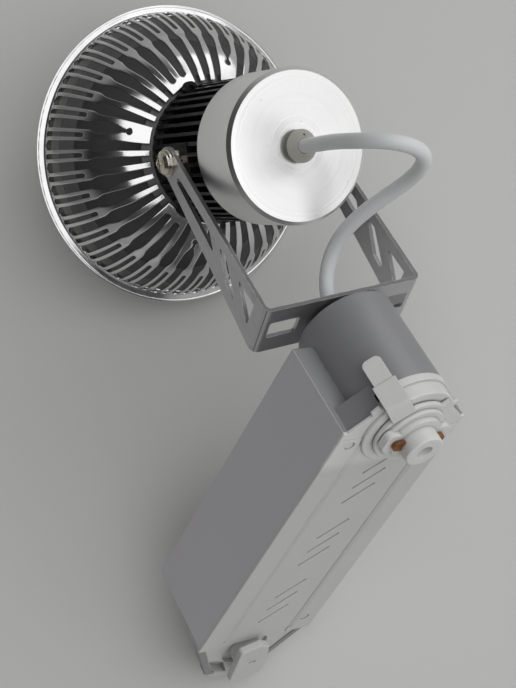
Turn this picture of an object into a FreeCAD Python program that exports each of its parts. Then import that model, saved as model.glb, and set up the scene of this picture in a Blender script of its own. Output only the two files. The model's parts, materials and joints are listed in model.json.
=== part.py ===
import FreeCAD, Part
import math
import os

# Track spotlight: a driver box that plugs into a ceiling track, a yoke that turns under
# it, and an LED lamp head with a finned heat sink and a slotted metal reflector shell.
# Millimetres.  Origin: centre of the adapter's seating face.  +Z points up into the
# track, +X along the box towards the column that carries the yoke.

V = FreeCAD.Vector
UP = V(0, 0, 1)
ALONG_X = V(1, 0, 0)
ALONG_Y = V(0, 1, 0)

# ---------------------------------------------------------------- driving dimensions
# driver box
box_length = 134.0
box_width = 53.4
box_depth = 38.3
wall = 2.0
cover_edge = 1.2            # height of the plastic cover's rim above the metal walls
half_length = box_length / 2
half_width = box_width / 2
wall_top = -cover_edge
box_floor = -box_depth

board_post_radius = 3.0
board_screw_radius = 1.25

# column at the +X end of the box; its axis is the pan axis and the contact head's axis
column_x = half_length + 0.4
column_radius = 18.3
column_drop = 6.9
column_end = box_floor - column_drop
column_top = -7.1
cap_radius = 18.5
cap_rim = 2.8
drum_radius = 17.6
drum_top = 1.0
gusset_bottom = -11.0

# rounded nose at the -X end
nose_centre_x = -80.7
nose_radius = 16.6
nose_bottom = -9.0
nose_floor = -6.6
nose_surface = -1.8
nose_rim = 2.6
tip_start = -92.2            # from here on the plastic cover forms the nose's edge
tip_overhang = 0.7
rear_lock_x = -77.0
rear_pin_radius = 3.94
rear_pin_hole = 4.0
clip_ledge = -4.6

# adapter cover
cover_lip = 2.4
groove_y = 16.0
groove_width = 2.4
groove_depth = 0.6
panel_end = -65.0
slot_length = 13.8
slot_width = 1.1
slot_pitch = 8.7
slot_group_pitch = 39.0
rivet_radius = 1.6
rivet_shank = 1.3
rivet_depth = 0.9
land_step = 0.2             # the middle panel lies this much below the side lands
front_step_x = half_length - 3.5

# contact head
hub_radius = 8.95
hub_hole_radius = 9.0
post_radius = 7.0
post_top = 12.0
post_hole_radius = 2.9
post_hole_floor = 8.8
blade_angle = 93.0
blade_reach = 10.8
lever_angle = 43.0
lever_stop = 57.5
head_turn = 90.0            # the lever's travel while it locks the head in the track
near_ear_reach = 22.2       # stops the lever at rest
far_ear_reach = 19.9
lever_inside = 21.0
lever_outside = 23.2
lever_bottom = -16.6
lever_width = 7.0

# yoke
pan_rest = 10.26
tilt_rest = 45.8
sheet = 1.5
strip_top = -50.2
strip_bottom = strip_top - sheet
strip_width = 21.7
yoke_half = 32.0
bend_radius = 3.0
pivot_z = -130.1
pivot_u = 6.5
eye_radius = 5.8
pan_bolt_radius = 5.0
cable_radius = 2.7
cable_bore = 3.1
core_radius_in_cable = 0.9

# play between pieces
slip = 0.1
beyond = 1.0                # how far a cutting shape runs past what it cuts

# lamp head, along its own axis from the tilt pivot (positive to the rear)
cap_outer = 28.0
cap_front = 17.3
cap_rear = 41.5
cap_wall = 2.0
cap_end_wall = 2.5
cap_chamfer = 1.3
fin_count = 44
fin_radius = 27.0
fin_thickness = 1.3
core_radius = 17.0
sink_front = -24.0
base_plate = 5.0
rim_front = -60.9
rim_radius = 60.0
shell_thickness = 0.9
fork_count = 40
shell_screw_count = 3
shell_screw_pcd_radius = 27.2
shell_screw_first = 18.5
keyhole_first = 69.0
glass_radius = 54.0
running_gap = 0.06
seat_gap = 0.05


# ---------------------------------------------------------------- small helpers
def cylinder(radius, low, high, x=0.0, y=0.0):
    return Part.makeCylinder(radius, high - low, V(x, y, low), UP)


def tube(outer, inner, low, high, x=0.0, y=0.0):
    hole = cylinder(inner, low - 1, high + 1, x, y)
    return cylinder(outer, low, high, x, y).cut(hole)


def rod_y(radius, low, high, x=0.0, z=0.0):
    return Part.makeCylinder(radius, high - low, V(x, low, z), ALONG_Y)


def block(x0, x1, y0, y1, z0, z1):
    return Part.makeBox(x1 - x0, y1 - y0, z1 - z0, V(x0, y0, z0))


def prism(points, low, high):
    corners = [V(x, y, low) for x, y in points]
    outline = Part.makePolygon(corners + [corners[0]])
    return Part.Face(outline).extrude(UP * (high - low))


def hexagon(across_flats, low, high, x=0.0, y=0.0):
    radius = across_flats / math.sqrt(3)
    corners = [polar(radius, 60 * k, x, y) for k in range(6)]
    return prism(corners, low, high)


def polar(radius, degrees, x=0.0, y=0.0):
    angle = math.radians(degrees)
    return (x + radius * math.cos(angle), y + radius * math.sin(angle))


def revolved(profile):
    """A full turn about Z of a closed (radius, height) outline."""
    corners = [V(r, 0, z) for r, z in profile]
    face = Part.Face(Part.makePolygon(corners + [corners[0]]))
    return face.revolve(V(0, 0, 0), UP, 360)


def turned(shape, degrees, x=0.0, y=0.0):
    copy = shape.copy()
    copy.rotate(V(x, y, 0), UP, degrees)
    return copy


def mirrored_y(shape):
    return shape.mirror(V(0, 0, 0), ALONG_Y)


def round_edges(shape, radius, chosen):
    edges = [edge for edge in shape.Edges if chosen(edge)]
    return shape.makeFillet(radius, edges)


def is_upright(edge):
    ends = [vertex.Point for vertex in edge.Vertexes]
    if len(ends) < 2:
        return False
    flat = abs(ends[0].x - ends[1].x) + abs(ends[0].y - ends[1].y)
    return flat < 1e-6 and abs(ends[0].z - ends[1].z) > 1e-6


def lies_at(edge, z):
    return all(abs(vertex.Point.z - z) < 1e-6 for vertex in edge.Vertexes)


def wire_run(points, radius):
    """A round wire along straight stretches, with slightly swollen ball corners."""
    pieces = []
    for start, end in zip(points, points[1:]):
        step = V(*end) - V(*start)
        pieces.append(Part.makeCylinder(radius, step.Length, V(*start), step))
    for corner in points[1:-1]:
        pieces.append(Part.makeSphere(radius + 0.05, V(*corner)))
    return pieces[0].fuse(pieces[1:])


def group(shapes):
    return Part.makeCompound(shapes)


yoke_place = FreeCAD.Placement(V(column_x, 0, 0), FreeCAD.Rotation(UP, pan_rest))
pivot_place = FreeCAD.Placement(V(pivot_u, 0, pivot_z), FreeCAD.Rotation())
tilt_place = FreeCAD.Placement(V(0, 0, 0), FreeCAD.Rotation(ALONG_Y, 90 - tilt_rest))
head_place = yoke_place.multiply(pivot_place).multiply(tilt_place)


def moved(shape, place):
    copy = shape.copy()
    copy.Placement = place.multiply(copy.Placement)
    return copy


# ---------------------------------------------------------------- driver box
def nose_prism(margin, low, high):
    """The tapered, round-tipped outline of the -X end, drawn in by margin."""
    reach = math.hypot(-half_length - nose_centre_x, half_width)
    to_corner = math.atan2(half_width, -half_length - nose_centre_x)
    tangent = to_corner + math.acos(nose_radius / reach)
    cosine = math.cos(tangent)
    sine = math.sin(tangent)
    radius = nose_radius - margin
    start_x = -half_length - margin * cosine
    start_y = half_width - margin * sine
    touch_x = nose_centre_x + radius * cosine
    touch_y = radius * sine
    tip_x = nose_centre_x - radius
    root_x = -half_length + 0.5
    edges = [
        Part.makeLine(V(root_x, -start_y, low), V(root_x, start_y, low)),
        Part.makeLine(V(root_x, start_y, low), V(start_x, start_y, low)),
        Part.makeLine(V(start_x, start_y, low), V(touch_x, touch_y, low)),
        Part.Arc(V(touch_x, touch_y, low), V(tip_x, 0, low), V(touch_x, -touch_y, low)).toShape(),
        Part.makeLine(V(touch_x, -touch_y, low), V(start_x, -start_y, low)),
        Part.makeLine(V(start_x, -start_y, low), V(root_x, -start_y, low)),
    ]
    edges = [edge for edge in edges if edge.Length > 1e-6]
    return Part.Face(Part.Wire(Part.__sortEdges__(edges))).extrude(UP * (high - low))


def gusset(low, high):
    """The slanted shoulder that joins the box's end wall to the column."""
    shoulder_y = half_width - wall
    column_side = polar(column_radius + slip, 58, column_x)
    inside_y = 14.0
    corners = [
        (half_length - beyond, shoulder_y),
        (half_length, shoulder_y),
        column_side,
        (column_x + 2.6, inside_y),
        (half_length - beyond, inside_y),
    ]
    return prism(corners, low, high)


board_posts = [(x, y) for x in (-54.0, 40.0) for y in (-17.0, 17.0)]
board_thickness = 1.6
board_bottom = -33.5
board_top = board_bottom + board_thickness
board_screw_depth = 2.0


def driver_housing():
    body = block(-half_length, half_length, -half_width, half_width, box_floor, wall_top)
    body = round_edges(body, 1.4, lambda edge: is_upright(edge) and edge.Vertexes[0].Point.x < 0)
    body = round_edges(body, 0.9, lambda edge: lies_at(edge, box_floor))
    column = cylinder(column_radius, column_end, column_top, column_x)
    column = column.makeFillet(0.8, [edge for edge in column.Edges if lies_at(edge, column_end)])
    shoulder = gusset(gusset_bottom, wall_top)
    nose = nose_prism(0.0, nose_bottom, wall_top)
    outer = body.fuse([column, shoulder, mirrored_y(shoulder), nose])
    inner_half = half_length - wall
    cavity = block(
        -inner_half, inner_half, -half_width + wall, half_width - wall, box_floor + wall, beyond
    )
    inner_column = cylinder(column_radius - wall, column_end + wall, beyond, column_x)
    front = block(half_length, column_x + 30, -30, 30, column_top, beyond)
    cap_seat = cylinder(column_radius + slip, column_top, beyond, column_x).common(front)
    nose_room = nose_prism(nose_rim - slip, nose_floor, beyond)
    nose_room = nose_room.cut(block(-half_length, 0, -30, 30, -20, 2))
    open_tip = block(-120, tip_start, -30, 30, nose_floor, beyond)
    bolt_hole = cylinder(pan_bolt_radius, column_end - beyond, column_end + wall + beyond, column_x)
    shell = outer.cut([cavity, inner_column, cap_seat, nose_room, open_tip, bolt_hole])
    posts = []
    for x, y in board_posts:
        posts.append(cylinder(board_post_radius, box_floor + wall - 0.5, board_bottom, x, y))
    shell = shell.fuse(posts)
    screw_holes = []
    for x, y in board_posts:
        hole_end = board_bottom - board_screw_depth - 0.2
        screw_holes.append(cylinder(board_screw_radius, hole_end, board_bottom + beyond, x, y))
    return shell.cut(screw_holes).removeSplitter()


def cover_front_tab(edge_angle, ear_reach):
    """The stepped ear beside the drum, from the cover's corner round to edge_angle."""
    ear_y = 25.0
    ear_root = 16.0
    corners = [
        (half_length - beyond, ear_y),
        (half_length + 0.2, ear_y),
        polar(ear_reach - 1.8, 68.7, column_x),
        polar(ear_reach, 66.2, column_x),
        polar(ear_reach, edge_angle, column_x),
        polar(ear_root, edge_angle, column_x),
        (half_length - beyond, 12.0),
    ]
    return prism(corners, wall_top, 0)


rivet_places = [(60.0, 20.8), (60.0, -20.8), (-58.7, -20.0)]


def vent_slots():
    cuts = []
    middle_x = -1.6
    half_long = slot_length / 2
    half_wide = slot_width / 2
    for grouped in range(-1, 2):
        for inner in range(-1, 2):
            x = middle_x + grouped * slot_group_pitch + inner * slot_pitch
            cut = block(-half_long, half_long, -half_wide, half_wide, -cover_lip - beyond, beyond)
            cut.rotate(V(0, 0, 0), UP, -45)
            cut.translate(V(x, 0, 0))
            cuts.append(cut)
    return cuts


def cover_groove(y):
    """A shallow V along the cover, drawn up past the surface."""
    corners = [
        V(panel_end, y, -groove_depth),
        V(panel_end, y + groove_width, groove_depth),
        V(panel_end, y - groove_width, groove_depth),
    ]
    face = Part.Face(Part.makePolygon(corners + [corners[0]]))
    return face.extrude(ALONG_X * (column_x + 6 - panel_end))


def adapter_cover():
    overhang = 0.9
    lip_x = half_length - wall - slip
    lip_y = half_width - wall - slip
    panel_y = groove_y - groove_width / 2
    plate = block(-half_length - overhang, half_length, -half_width, half_width, wall_top, 0)
    plate = round_edges(plate, 0.45, lambda edge: lies_at(edge, 0))
    lip = block(-lip_x, lip_x, -lip_y, lip_y, -cover_lip, wall_top)
    front = block(half_length + seat_gap, column_x + 30, -30, 30, -20, 3)
    drum_wall = tube(drum_radius, drum_radius - wall, column_top + cap_rim, wall_top, column_x)
    ring = tube(cap_radius, drum_radius - wall, column_top + seat_gap, column_top + cap_rim, column_x)
    side = prism([(column_x, 0), polar(40, 55, column_x), polar(40, 120, column_x)], -20, 3)
    ring = ring.common(front).cut([side, mirrored_y(side)])
    drum_wall = drum_wall.common(front)
    drum_lid = cylinder(drum_radius, wall_top, drum_top, column_x)
    drum_lid = drum_lid.makeFillet(0.5, [edge for edge in drum_lid.Edges if lies_at(edge, drum_top)])
    panel = block(panel_end, half_length + 5, -panel_y, panel_y, -land_step, beyond)
    grooves = [cover_groove(-groove_y), cover_groove(groove_y)]
    far_stop = lever_stop + head_turn - 2 * lever_angle
    near_ear = cover_front_tab(lever_stop, near_ear_reach)
    far_ear = mirrored_y(cover_front_tab(far_stop, far_ear_reach))
    front_step = block(front_step_x, 120, -30, 30, -land_step, beyond)
    rear_step = block(-120, panel_end + 1.0, -panel_y, panel_y, -0.5, beyond)
    flat = plate.fuse([lip, near_ear, far_ear]).cut([panel, front_step, rear_step] + grooves)
    nose = nose_prism(nose_rim, nose_floor + slip, nose_surface)
    nose = nose.cut(block(-half_length - slip, 0, -30, 30, -20, 2))
    tip = nose_prism(-tip_overhang, nose_floor + slip, nose_surface)
    tip = tip.common(block(-120, tip_start - slip, -30, 30, -20, 2))
    web_y = half_width - 2 * wall
    web = block(-half_length - overhang, -half_length - slip, -web_y, web_y, -3.0, -0.5)
    cover = flat.fuse([drum_wall, ring, drum_lid, nose, tip, web])
    lock_recess = cylinder(10.0, -3.2, 2, rear_lock_x)
    lock_recess = lock_recess.cut(block(-half_length - overhang, 0, -30, 30, -20, 3))
    pocket = prism([(-80.5, 15.5), (-85.5, 6.4), (-96.0, 0.8), (-95.6, 6.0), (-92.0, 10.2)], -5.4, 1)
    pocket = round_edges(pocket, 1.0, is_upright)
    pocket = pocket.common(nose_prism(nose_rim + 0.4, -6, 1))
    lock_hole = cylinder(rear_pin_hole, -10, 2, rear_lock_x)
    clip_room = cylinder(7.0, -10, clip_ledge, rear_lock_x)
    hub_hole = cylinder(hub_hole_radius, -10, 5, column_x)
    rivets = [cylinder(rivet_radius + 0.3, -rivet_depth, beyond, x, y) for x, y in rivet_places]
    shanks = [cylinder(rivet_shank, -4, beyond, x, y) for x, y in rivet_places]
    cuts = vent_slots() + rivets + shanks + [lock_recess, pocket, lock_hole, clip_room, hub_hole]
    return cover.cut(cuts).removeSplitter()


def cover_rivets():
    rivets = []
    for x, y in rivet_places:
        head = cylinder(rivet_radius, -rivet_depth, -0.3, x, y)
        shank = cylinder(rivet_shank, -5.0, -rivet_depth, x, y)
        rivets.append(head.fuse(shank))
    return group(rivets)


# ---------------------------------------------------------------- inside the driver box
def driver_board():
    board = block(-58.0, 44.0, -21.0, 21.0, board_bottom, board_top)
    holes = [cylinder(1.7, board_bottom - 1, board_top + 1, x, y) for x, y in board_posts]
    return board.cut(holes)


def board_screws():
    screws = []
    for x, y in board_posts:
        head = cylinder(2.7, board_top, board_top + 1.7, x, y)
        shank = cylinder(board_screw_radius, board_bottom - board_screw_depth, board_top, x, y)
        screws.append(head.fuse(shank))
    return group(screws)


transformer_x = -5.0
core_half = 13.0
core_height = 20.0
core_leg = 4.0
window_half = 7.0
winding_room = 0.3


def transformer_core():
    ends = (transformer_x - core_half, transformer_x + core_half)
    core = block(*ends, -core_half, core_half, board_top, board_top + core_height)
    opening = (transformer_x - window_half, transformer_x + window_half)
    window = block(*opening, -20.0, 20.0, board_top + core_leg, board_top + core_height - core_leg)
    return core.cut(window)


def transformer_winding():
    half = window_half - winding_room
    low = board_top + core_leg + winding_room
    high = board_top + core_height - core_leg - winding_room
    winding = block(transformer_x - half, transformer_x + half, -16.0, 16.0, low, high)
    return round_edges(winding, 2.0, lambda edge: edge.Length > 20)


def capacitors():
    output_side = [(22.0, side * 9.0, 5.0, 18.0) for side in (1, -1)]
    input_side = [(-30.0, 0.0, 6.5, 20.0)]
    cans = []
    for x, y, radius, height in output_side + input_side:
        top = board_top + height
        can = cylinder(radius, board_top, top, x, y)
        rim = [edge for edge in can.Edges if lies_at(edge, top)]
        cans.append(can.makeFillet(0.8, rim))
    return group(cans)


def input_choke():
    ring_radius = 6.0
    winding_radius = 3.0
    return Part.makeTorus(ring_radius, winding_radius, V(-46.0, 0, board_top + winding_radius), UP)


def terminal_block():
    body = block(30.0, 38.0, -11.0, 11.0, board_top, board_top + 9.0)
    wells = [cylinder(1.8, board_top + 5.0, board_top + 10.0, 34.0, y) for y in (-7.0, 0.0, 7.0)]
    return body.cut(wells)


carrier_start = 38.0
carrier_end = 50.0
carrier_bottom = -12.0
spring_level = -9.4
spring_half = 2.5
spring_sides = (-4.5, 4.5)
terminal_level = -27.0


def contact_carrier():
    body = block(carrier_start, carrier_end, -12.0, 12.0, carrier_bottom, -cover_lip)
    slots = []
    for y in spring_sides:
        half = spring_half + slip
        ends = (carrier_start - beyond, carrier_end + beyond)
        slots.append(block(*ends, y - half, y + half, spring_level - 0.6, spring_level))
    return body.cut(slots)


def contact_springs():
    leaves = []
    for y in spring_sides:
        low = spring_level - 0.5
        high = spring_level - slip
        leaves.append(block(carrier_start + 0.5, 71.5, y - spring_half, y + spring_half, low, high))
    return group(leaves)


def supply_wires():
    level = spring_level - 0.3
    drop_x = 28.5
    runs = []
    for y in spring_sides:
        points = [(carrier_start - slip, y, level), (drop_x, y, level), (drop_x, y, terminal_level)]
        runs.append(wire_run(points, core_radius_in_cable))
    return group(runs)


def output_wires():
    turn_level = terminal_level - 1.0
    runs = []
    for y in (-1.3, 1.3):
        points = [
            (column_x, y, -46.0),
            (column_x, y, turn_level),
            (47.0, 2 * y, terminal_level),
            (38.5, 2 * y, terminal_level),
        ]
        runs.append(wire_run(points, core_radius_in_cable))
    return group(runs)


# ---------------------------------------------------------------- contact head and rear lock
blade_bottom = 6.9
blade_top = 8.1
blade_half = 2.1
stem_half = 1.5
stem_bottom = -9.0


def blade_shapes(gap):
    """The two flat contact blades, or with a gap the room they need."""
    pieces = []
    for side in (0.0, 180.0):
        inner = 2.9 - gap
        half = blade_half + gap
        strip = block(inner, blade_reach - half, -half, half, blade_bottom - gap, blade_top + gap)
        strip = strip.fuse(cylinder(half, blade_bottom - gap, blade_top + gap, blade_reach - half))
        half = stem_half + gap
        stem = block(inner, 5.2 + gap, -half, half, stem_bottom - gap, blade_bottom + 0.1)
        piece = strip.fuse(stem)
        piece.rotate(V(0, 0, 0), UP, blade_angle + side)
        piece.translate(V(column_x, 0, 0))
        pieces.append(piece)
    return pieces


def contact_blades():
    return group([piece.removeSplitter() for piece in blade_shapes(0.0)])


journal_top = 1.35
collar_radius = 8.2
collar_top = 2.95
disc_radius = 12.0
wing_bottom = 4.4
wing_top = 6.4
wing_reach = 13.4
wing_half = 4.2
key_half = 1.5
clip_groove_radius = 7.6
clip_groove = (-3.4, -2.3)


def contact_head():
    journal = cylinder(hub_radius, -6.5, journal_top, column_x)
    collar = cylinder(collar_radius, journal_top, collar_top, column_x)
    disc = cylinder(disc_radius, collar_top, wing_bottom, column_x)
    disc = disc.makeFillet(0.5, [edge for edge in disc.Edges if lies_at(edge, wing_bottom)])
    wings = block(-wing_reach, wing_reach, -wing_half, wing_half, wing_bottom - 1.0, wing_top)
    wings = round_edges(wings, 2.4, is_upright)
    wings = wings.fuse(cylinder(9.6, wing_bottom - 0.5, wing_top))
    wings.rotate(V(0, 0, 0), UP, blade_angle)
    wings.translate(V(column_x, 0, 0))
    post = cylinder(post_radius, wing_bottom, post_top, column_x)
    post = post.makeFillet(0.6, [edge for edge in post.Edges if lies_at(edge, post_top)])
    hole = cylinder(post_hole_radius, post_hole_floor, post_top + beyond, column_x)
    groove = tube(disc_radius, clip_groove_radius, *clip_groove, column_x)
    key = block(7.4, 9.2, -key_half, key_half, 1.0, 3.0)
    key.translate(V(column_x, 0, 0))
    head = journal.fuse([collar, disc, wings, post])
    head = head.cut(blade_shapes(0.02) + [hole, groove])
    return head.fuse(turned(key, lever_angle + 180, column_x)).removeSplitter()


def lock_lever():
    ring_bottom = journal_top + seat_gap
    ring_top = collar_top - seat_gap
    arm_top = 3.2
    step = 0.8
    swell = lever_outside + 0.3
    half = lever_width / 2
    bore = collar_radius + seat_gap
    ring = tube(14.0, bore, ring_bottom, ring_top, column_x)
    outer_rim = [edge for edge in ring.Edges if lies_at(edge, ring_top) and edge.Length > 60]
    ring = ring.makeFillet(0.4, outer_rim)
    arm = block(12.3, swell, -half - step, half + step, ring_bottom, arm_top)
    shoulder = block(lever_inside, swell, -half - step, half + step, -6.5, arm_top)
    finger = block(lever_inside, lever_outside, -half, half, lever_bottom, 0)
    finger = round_edges(finger, 2.2, lambda edge: lies_at(edge, lever_bottom) and edge.Length < 3)
    wing = block(8.5, 16.0, -wing_half, wing_half, ring_bottom, ring_top)
    wing = turned(wing, -90)
    lever = arm.fuse([shoulder, finger, wing])
    lever.rotate(V(0, 0, 0), UP, lever_angle)
    lever.translate(V(column_x, 0, 0))
    keyway = block(7.3, 9.3, -key_half - seat_gap, key_half + seat_gap, 1.0, 4.0)
    keyway.translate(V(column_x, 0, 0))
    keyway = turned(keyway, lever_angle + 180, column_x)
    hub_room = cylinder(bore, 0, 5, column_x)
    return ring.fuse(lever).cut([hub_room, keyway]).removeSplitter()


def retaining_clip(outer, inner, low, high, x):
    """A C-shaped spring clip that snaps into a groove."""
    clip = tube(outer, inner, low, high, x)
    mouth = block(0, outer + 1, -1.6, 1.6, low - 1, high + 1)
    mouth.translate(V(x, 0, 0))
    return clip.cut(turned(mouth, 180, x))


def head_clip():
    low, high = clip_groove
    return retaining_clip(11.2, clip_groove_radius + seat_gap, low + seat_gap, high - 0.25, column_x)


lug_bottom = 2.2
lug_top = 5.0
rear_clip_radius = 6.0


def rear_lock():
    pin = cylinder(rear_pin_radius, nose_floor + 0.2, -2.0, rear_lock_x)
    hub = cylinder(6.5, -3.1, lug_bottom + slip, rear_lock_x)
    outline = [
        (-13.6, 5.0),
        (9.6, 9.2),
        (12.6, 0.6),
        (10.2, -3.8),
        (1.0, -7.2),
        (-10.2, -9.0),
        (-13.4, -4.4),
    ]
    lug = prism(outline, lug_bottom, lug_top)
    lug = round_edges(lug, 1.6, is_upright)
    lug = lug.makeFillet(0.4, [edge for edge in lug.Edges if lies_at(edge, lug_top)])
    lug.translate(V(rear_lock_x, 0, 0))
    groove = tube(rear_clip_radius, 3.0, clip_ledge - 0.9, clip_ledge - slip, rear_lock_x)
    driver_slot = block(rear_lock_x - 0.7, rear_lock_x + 0.7, -1.7, 1.7, lug_top - 1.2, lug_top + beyond)
    lock = pin.fuse([hub, lug])
    return lock.cut([groove, driver_slot]).removeSplitter()


def rear_lock_clip():
    return retaining_clip(rear_clip_radius, 3.02, clip_ledge - 0.85, clip_ledge - 0.15, rear_lock_x)


# ---------------------------------------------------------------- pan joint and yoke
pan_nut_thickness = 2.2
upper_washer_top = strip_top + seat_gap + 1.0
lower_washer_bottom = strip_bottom - 0.6


def pan_bolt():
    return tube(pan_bolt_radius, cable_bore, lower_washer_bottom - pan_nut_thickness - 0.3, -39.0, column_x)


def pan_lock_nut():
    low = column_end + wall
    nut = hexagon(14.0, low, low + 4.0, column_x)
    return nut.cut(cylinder(pan_bolt_radius, -60, 0, column_x))


def pan_spacer():
    return tube(11.0, pan_bolt_radius, upper_washer_top, column_end, column_x)


def pan_friction_washers():
    above = tube(9.5, pan_bolt_radius, strip_top + seat_gap, upper_washer_top, column_x)
    below = tube(8.5, pan_bolt_radius, lower_washer_bottom, strip_bottom - seat_gap, column_x)
    return group([above, below])


def pan_nut():
    top = lower_washer_bottom
    nut = hexagon(13.0, top - pan_nut_thickness, top, column_x)
    return nut.cut(cylinder(pan_bolt_radius, -70, 0, column_x))


def arm_profile(points, y0, y1):
    """A sheet outline drawn in the arm's own plane (across the yoke, height)."""
    corners = [V(x, y0, z) for x, z in points]
    face = Part.Face(Part.makePolygon(corners + [corners[0]]))
    return face.extrude(ALONG_Y * (y1 - y0))


strip_half = strip_width / 2


def arm_cutouts(y0, y1):
    """The truss openings: a triangle, a slanted window and a long tapering slot."""
    triangle = [(-4.4, -57.8), (6.6, -57.6), (6.6, -70.2)]
    window = [(-3.6, -69.5), (-1.6, -69.2), (7.0, -80.2), (7.0, -85.8), (-2.6, -75.4)]
    slot = [(1.3, -87.8), (7.2, -94.6), (7.4, -121.4), (4.7, -121.6)]
    cuts = []
    for outline in (triangle, window, slot):
        cut = arm_profile(outline, y0, y1)
        across = [edge for edge in cut.Edges if abs(edge.Length - (y1 - y0)) < 1e-6]
        cuts.append(cut.makeFillet(0.5, across))
    return cuts


def bent_sheet():
    """The U of bent sheet seen along the yoke, drawn wide enough to be trimmed."""
    foot = pivot_z - eye_radius - 1

    def u_outline(half, top, radius):
        knee = half - radius
        slant = radius * math.sqrt(0.5)
        bend_left = V(-20, -knee - slant, top - radius + slant)
        bend_right = V(-20, knee + slant, top - radius + slant)
        return [
            Part.makeLine(V(-20, -half, foot), V(-20, -half, top - radius)),
            Part.Arc(V(-20, -half, top - radius), bend_left, V(-20, -knee, top)).toShape(),
            Part.makeLine(V(-20, -knee, top), V(-20, knee, top)),
            Part.Arc(V(-20, knee, top), bend_right, V(-20, half, top - radius)).toShape(),
            Part.makeLine(V(-20, half, top - radius), V(-20, half, foot)),
        ]

    outside = u_outline(yoke_half, strip_top, bend_radius)
    inside = u_outline(yoke_half - sheet, strip_bottom, bend_radius - sheet)
    feet = [
        Part.makeLine(V(-20, side * yoke_half, foot), V(-20, side * (yoke_half - sheet), foot))
        for side in (-1, 1)
    ]
    edges = Part.__sortEdges__(outside + inside + feet)
    return Part.Face(Part.Wire(edges)).extrude(ALONG_X * 40)


def yoke_bracket():
    width = strip_half
    outline = [
        (-width, strip_top + 1),
        (width, strip_top + 1),
        (width, strip_bottom - 2),
        (pivot_u + eye_radius, pivot_z + 2.0),
        (pivot_u, pivot_z),
        (pivot_u - eye_radius, pivot_z + 1.0),
        (-width, strip_bottom - 2),
    ]
    side_view = arm_profile(outline, -yoke_half - 1, yoke_half + 1)
    side_view = side_view.fuse(rod_y(eye_radius, -yoke_half - 1, yoke_half + 1, pivot_u, pivot_z))
    yoke = bent_sheet().common(side_view)
    windows = []
    for side in (1, -1):
        window = block(-3.5, 4.3, 16.7, 28.6, strip_bottom - 1, strip_top + 1)
        window = round_edges(window, 0.8, is_upright)
        windows.append(window if side > 0 else mirrored_y(window))
    bolt_hole = cylinder(pan_bolt_radius + running_gap, strip_bottom - 1, strip_top + 1)
    pivot_hole = rod_y(2.5 + running_gap, -yoke_half - beyond, yoke_half + beyond, pivot_u, pivot_z)
    cuts = arm_cutouts(-yoke_half - 1, yoke_half + 1)
    yoke = yoke.cut(windows + cuts + [bolt_hole, pivot_hole])
    return moved(yoke.removeSplitter(), yoke_place)


def power_cable():
    """The flexible lead: straight out of the rear gland, one loop, up into the pan bolt."""
    sine = math.sin(math.radians(tilt_rest))
    cosine = math.cos(math.radians(tilt_rest))
    inside = 30.0
    outside = cap_rear + 5.0
    rear = V(cosine, 0, sine)
    pivot = V(pivot_u, 0, pivot_z)
    leaves_gland = pivot + rear * outside
    enters_bolt = V(0, 0, -55.6)
    path = [
        pivot + rear * inside,
        pivot + rear * (inside + outside) / 2,
        leaves_gland,
        V(51.8, 0.0, -84.4),
        V(64.9, -0.1, -70.5),
        V(69.1, -3.5, -65.0),
        V(70.3, -8.5, -61.4),
        V(68.8, -13.7, -59.6),
        V(55.6, -21.6, -62.0),
        V(36.7, -15.8, -67.8),
        V(20.5, -7.9, -70.5),
        V(11.0, -5.0, -69.6),
        V(3.6, -2.6, -65.2),
        enters_bolt,
        V(0, 0, -46.6),
    ]
    curve = Part.BSplineCurve()
    curve.interpolate(Points=path, InitialTangent=rear, FinalTangent=UP)
    spine = Part.Wire([curve.toShape()])
    ring = Part.Wire([Part.makeCircle(cable_radius, path[0], rear)])
    sweep = Part.BRepOffsetAPI.MakePipeShell(spine)
    sweep.setFrenetMode(False)
    sweep.add(ring)
    sweep.build()
    sweep.makeSolid()
    return moved(sweep.shape(), yoke_place)


# ---------------------------------------------------------------- lamp head
def shell_screw_angles():
    return [shell_screw_first + 120 * k for k in range(shell_screw_count)]


lug_half = 6.5
core_channel = (9.0, 0.0)
screw_head_seat = sink_front + 2.0
pivot_thread = 2.5
small_thread = 1.25


def heat_sink():
    core = cylinder(core_radius, sink_front, cap_front + 3.0)
    base = cylinder(fin_radius - 1.4, sink_front, sink_front + base_plate)
    spigot = cylinder(cap_outer - cap_wall - 0.05, cap_front - 3.0, cap_front + 3.0)
    fins = []
    for k in range(fin_count):
        fin = block(core_radius - 1, fin_radius, -fin_thickness / 2, fin_thickness / 2,
                    sink_front, cap_front - 0.05)
        fins.append(turned(fin, (k + 0.5) * 360 / fin_count))
    lugs = Part.makeBox(2 * lug_half, 2 * fin_radius, 2 * lug_half, V(-lug_half, -fin_radius, -lug_half))
    sink = core.fuse([base, spigot, lugs] + fins)
    cuts = [
        rod_y(pivot_thread, -fin_radius - beyond, -15.0),
        rod_y(pivot_thread, 15.0, fin_radius + beyond),
    ]
    for angle in shell_screw_angles():
        x, y = polar(shell_screw_pcd_radius, angle)
        cuts.append(cylinder(3.2, screw_head_seat, screw_head_seat + 7.0, x, y))
        cuts.append(cylinder(1.6, sink_front - beyond, screw_head_seat + beyond, x, y))
    cuts.append(cylinder(2.6, sink_front - beyond, cap_front + 5, *core_channel))
    for x, y in cob_screw_places:
        cuts.append(cylinder(small_thread, sink_front - beyond, sink_front + 4.0, x, y))
    return moved(sink.cut(cuts).removeSplitter(), head_place)


gland_thread = 4.0
gland_flange = 6.0
flange_start = cap_rear + 1.7
gland_end = cap_rear + 4.6


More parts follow.
